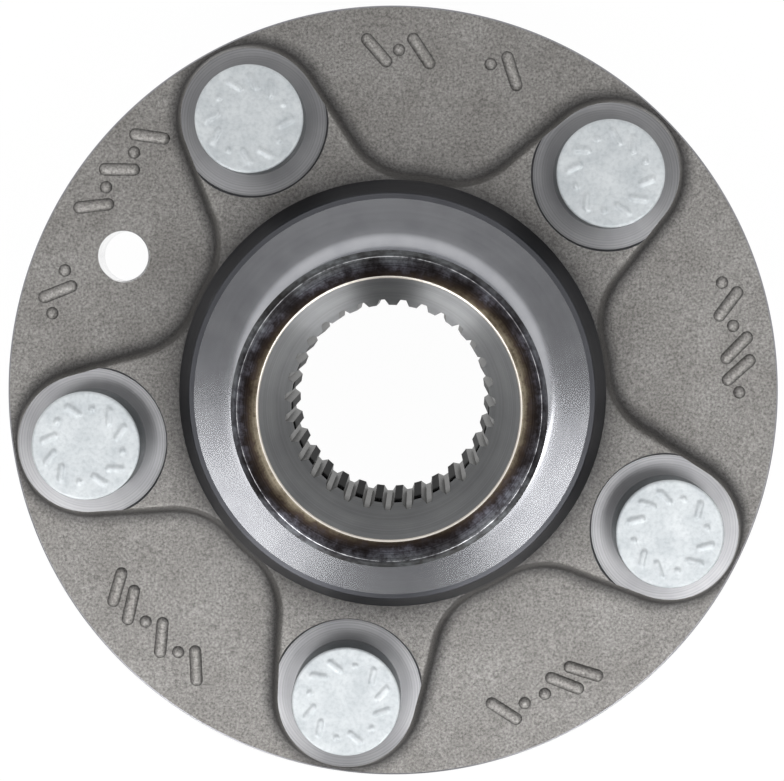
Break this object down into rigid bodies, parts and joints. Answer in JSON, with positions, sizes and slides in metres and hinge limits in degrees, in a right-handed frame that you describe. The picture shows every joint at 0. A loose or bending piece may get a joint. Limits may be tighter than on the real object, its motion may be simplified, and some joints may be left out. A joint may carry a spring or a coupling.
{
  "type": "driven wheel hub with wheel studs",
  "caption": "Forged steel driven wheel hub: round flange with lobed spider and pressed-in wheel studs, ground bearing spigot, internal drive spline and outboard wheel pilot.",
  "frame": {"origin": "centre of the outboard disc face, on the hub's axis", "axes": "+Z along the hub's axis, pointing inboard to the bearing spigot; +X and +Y in the disc face, the first stud lies 45.4 degrees from +X towards +Y"},
  "size_m": [0.138, 0.138, 0.092],
  "materials": {
    "forged_steel": "shot-blasted forging skin with ground and turned faces",
    "zinc_plated_steel": "dull zinc plate"
  },
  "bodies": {
    "root": {"hub": "forged_steel", "wheel_stud_1": "zinc_plated_steel", "wheel_stud_2": "zinc_plated_steel", "wheel_stud_3": "zinc_plated_steel", "wheel_stud_4": "zinc_plated_steel", "wheel_stud_5": "zinc_plated_steel"}
  },
  "joints": []
}
